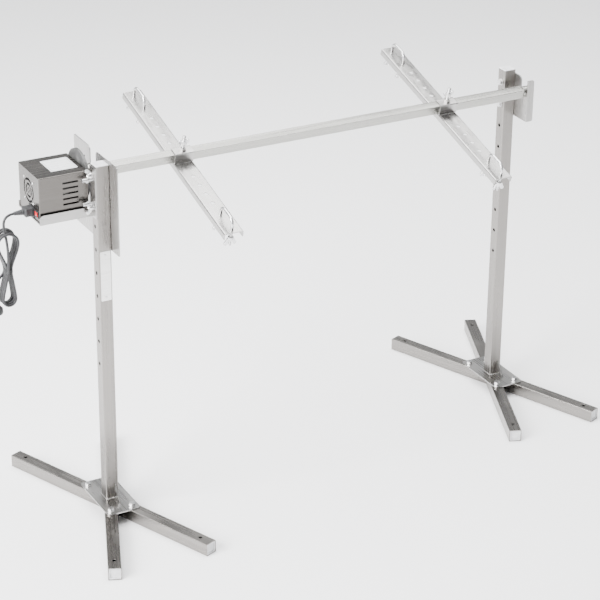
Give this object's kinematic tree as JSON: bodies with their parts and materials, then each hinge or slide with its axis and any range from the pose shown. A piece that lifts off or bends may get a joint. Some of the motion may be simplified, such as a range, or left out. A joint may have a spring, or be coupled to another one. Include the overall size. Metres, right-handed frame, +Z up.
{
  "type": "roasting spit stand",
  "caption": "Motorised barbecue spit: a square bar with two clamped cross arms turns between a geared motor stand and a tail stand on splayed legs.",
  "frame": {"origin": "on the floor, at the middle of the object's footprint without its cord", "axes": "+X along the spit from the motor stand to the tail stand, +Z up"},
  "size_m": [1.5003, 0.7144, 0.8882],
  "materials": {
    "stand_steel": "brushed stainless tube",
    "plate_steel": "brushed stainless sheet",
    "spit_steel": "bright drawn bar",
    "fastener_steel": "bright zinc plate",
    "cast_metal": "dark as-cast alloy",
    "motor_steel": "black enamel",
    "cap_plastic": "moulded grey",
    "black_plastic": "fine moulded texture",
    "rocker_plastic": "gloss red",
    "cord_rubber": "satin black sheath",
    "label_film": "silver-white film, blank",
    "name_plate_metal": "satin, blank"
  },
  "bodies": {
    "root": {"motor_post": "stand_steel", "motor_base_plate": "plate_steel", "motor_leg_front_left": "stand_steel", "motor_leg_front_right": "stand_steel", "motor_leg_back_left": "stand_steel", "motor_leg_back_right": "stand_steel", "tail_post": "stand_steel", "tail_base_plate": "plate_steel", "tail_leg_front_left": "stand_steel", "tail_leg_front_right": "stand_steel", "tail_leg_back_left": "stand_steel", "tail_leg_back_right": "stand_steel", "leg_plugs": "cap_plastic", "leg_bolts": "fastener_steel", "post_caps": "cap_plastic", "gussets": "plate_steel", "name_plate": "name_plate_metal", "name_plate_rivets": "fastener_steel", "heat_shield": "plate_steel", "tray_bracket": "plate_steel", "carriage_bolts": "fastener_steel", "bracket_wing_nuts": "fastener_steel", "motor_cover": "plate_steel", "gearbox": "cast_metal", "gearbox_flange": "cast_metal", "gearbox_mount": "plate_steel", "drive_motor": "motor_steel", "fan_frame": "black_plastic", "fan_screws": "fastener_steel", "rating_sticker": "label_film", "power_inlet": "black_plastic", "switch_housing": "black_plastic", "cradle": "plate_steel", "appliance_plug": "cord_rubber", "cord_lead": "cord_rubber", "cord_hank": "cord_rubber", "mains_plug": "cord_rubber"},
    "spit": {"drive_socket": "spit_steel", "spit_bar": "spit_steel", "tail_journal": "spit_steel"},
    "fan": {"cooling_fan": "black_plastic"},
    "power_switch": {"switch_rocker": "rocker_plastic"},
    "motor_end_arm": {"motor_end_arm": "plate_steel", "motor_end_sleeve": "plate_steel"},
    "motor_end_wing_screw": {"motor_end_wing_screw": "fastener_steel"},
    "motor_end_near_u_bolt": {"motor_end_near_u_bolt": "fastener_steel"},
    "motor_end_near_nut_inner": {"motor_end_near_nut_inner": "fastener_steel"},
    "motor_end_near_nut_outer": {"motor_end_near_nut_outer": "fastener_steel"},
    "motor_end_far_u_bolt": {"motor_end_far_u_bolt": "fastener_steel"},
    "motor_end_far_nut_inner": {"motor_end_far_nut_inner": "fastener_steel"},
    "motor_end_far_nut_outer": {"motor_end_far_nut_outer": "fastener_steel"},
    "tail_end_arm": {"tail_end_arm": "plate_steel", "tail_end_sleeve": "plate_steel"},
    "tail_end_wing_screw": {"tail_end_wing_screw": "fastener_steel"},
    "tail_end_near_u_bolt": {"tail_end_near_u_bolt": "fastener_steel"},
    "tail_end_near_nut_inner": {"tail_end_near_nut_inner": "fastener_steel"},
    "tail_end_near_nut_outer": {"tail_end_near_nut_outer": "fastener_steel"},
    "tail_end_far_u_bolt": {"tail_end_far_u_bolt": "fastener_steel"},
    "tail_end_far_nut_inner": {"tail_end_far_nut_inner": "fastener_steel"},
    "tail_end_far_nut_outer": {"tail_end_far_nut_outer": "fastener_steel"}
  },
  "joints": [
    {"name": "spit_spin", "type": "hinge", "parent": "root", "child": "spit", "pos_m": [-0.05559, 0.00975, 0.806], "axis": [1, 0, 0], "continuous": true},
    {"name": "fan_spin", "type": "hinge", "parent": "root", "child": "fan", "pos_m": [-0.68359, 0.01075, 0.789], "axis": [1, 0, 0], "continuous": true},
    {"name": "switch_rock", "type": "hinge", "parent": "root", "child": "power_switch", "pos_m": [-0.68959, -0.03225, 0.749], "axis": [0, 0, 1], "range_deg": [0, 11]},
    {"name": "motor_end_arm_slide", "type": "slide", "parent": "spit", "child": "motor_end_arm", "axis": [1, 0, 0], "range_m": [-0.162, 0.271]},
    {"name": "motor_end_wing_screw_turn", "type": "hinge", "parent": "motor_end_arm", "child": "motor_end_wing_screw", "pos_m": [-0.32659, 0.00133, 0.83479], "axis": [0, -0.2807, 0.9598], "range_deg": [-1080, 180]},
    {"name": "motor_end_near_u_bolt_slide", "type": "slide", "parent": "motor_end_arm", "child": "motor_end_near_u_bolt", "axis": [0, -0.2807, 0.9598], "range_m": [-0.006, 0.0175]},
    {"name": "motor_end_near_nut_inner_turn", "type": "hinge", "parent": "motor_end_near_u_bolt", "child": "motor_end_near_nut_inner", "pos_m": [-0.32659, -0.17482, 0.71035], "axis": [0, -0.2807, 0.9598], "range_deg": [-3960, 6120]},
    {"name": "motor_end_near_nut_outer_turn", "type": "hinge", "parent": "motor_end_near_u_bolt", "child": "motor_end_near_nut_outer", "pos_m": [-0.32659, -0.22857, 0.69463], "axis": [0, -0.2807, 0.9598], "range_deg": [-3960, 6120]},
    {"name": "motor_end_far_u_bolt_slide", "type": "slide", "parent": "motor_end_arm", "child": "motor_end_far_u_bolt", "axis": [0, -0.2807, 0.9598], "range_m": [-0.006, 0.0175]},
    {"name": "motor_end_far_nut_inner_turn", "type": "hinge", "parent": "motor_end_far_u_bolt", "child": "motor_end_far_nut_inner", "pos_m": [-0.32659, 0.21678, 0.82486], "axis": [0, -0.2807, 0.9598], "range_deg": [-3960, 6120]},
    {"name": "motor_end_far_nut_outer_turn", "type": "hinge", "parent": "motor_end_far_u_bolt", "child": "motor_end_far_nut_outer", "pos_m": [-0.32659, 0.27053, 0.84058], "axis": [0, -0.2807, 0.9598], "range_deg": [-3960, 6120]},
    {"name": "tail_end_arm_slide", "type": "slide", "parent": "spit", "child": "tail_end_arm", "axis": [1, 0, 0], "range_m": [-0.296, 0.147]},
    {"name": "tail_end_wing_screw_turn", "type": "hinge", "parent": "tail_end_arm", "child": "tail_end_wing_screw", "pos_m": [0.36041, 0.00133, 0.83479], "axis": [0, -0.2807, 0.9598], "range_deg": [-1080, 180]},
    {"name": "tail_end_near_u_bolt_slide", "type": "slide", "parent": "tail_end_arm", "child": "tail_end_near_u_bolt", "axis": [0, -0.2807, 0.9598], "range_m": [-0.006, 0.0175]},
    {"name": "tail_end_near_nut_inner_turn", "type": "hinge", "parent": "tail_end_near_u_bolt", "child": "tail_end_near_nut_inner", "pos_m": [0.36041, -0.17482, 0.71035], "axis": [0, -0.2807, 0.9598], "range_deg": [-3960, 6120]},
    {"name": "tail_end_near_nut_outer_turn", "type": "hinge", "parent": "tail_end_near_u_bolt", "child": "tail_end_near_nut_outer", "pos_m": [0.36041, -0.22857, 0.69463], "axis": [0, -0.2807, 0.9598], "range_deg": [-3960, 6120]},
    {"name": "tail_end_far_u_bolt_slide", "type": "slide", "parent": "tail_end_arm", "child": "tail_end_far_u_bolt", "axis": [0, -0.2807, 0.9598], "range_m": [-0.006, 0.0175]},
    {"name": "tail_end_far_nut_inner_turn", "type": "hinge", "parent": "tail_end_far_u_bolt", "child": "tail_end_far_nut_inner", "pos_m": [0.36041, 0.21678, 0.82486], "axis": [0, -0.2807, 0.9598], "range_deg": [-3960, 6120]},
    {"name": "tail_end_far_nut_outer_turn", "type": "hinge", "parent": "tail_end_far_u_bolt", "child": "tail_end_far_nut_outer", "pos_m": [0.36041, 0.27053, 0.84058], "axis": [0, -0.2807, 0.9598], "range_deg": [-3960, 6120]}
  ]
}
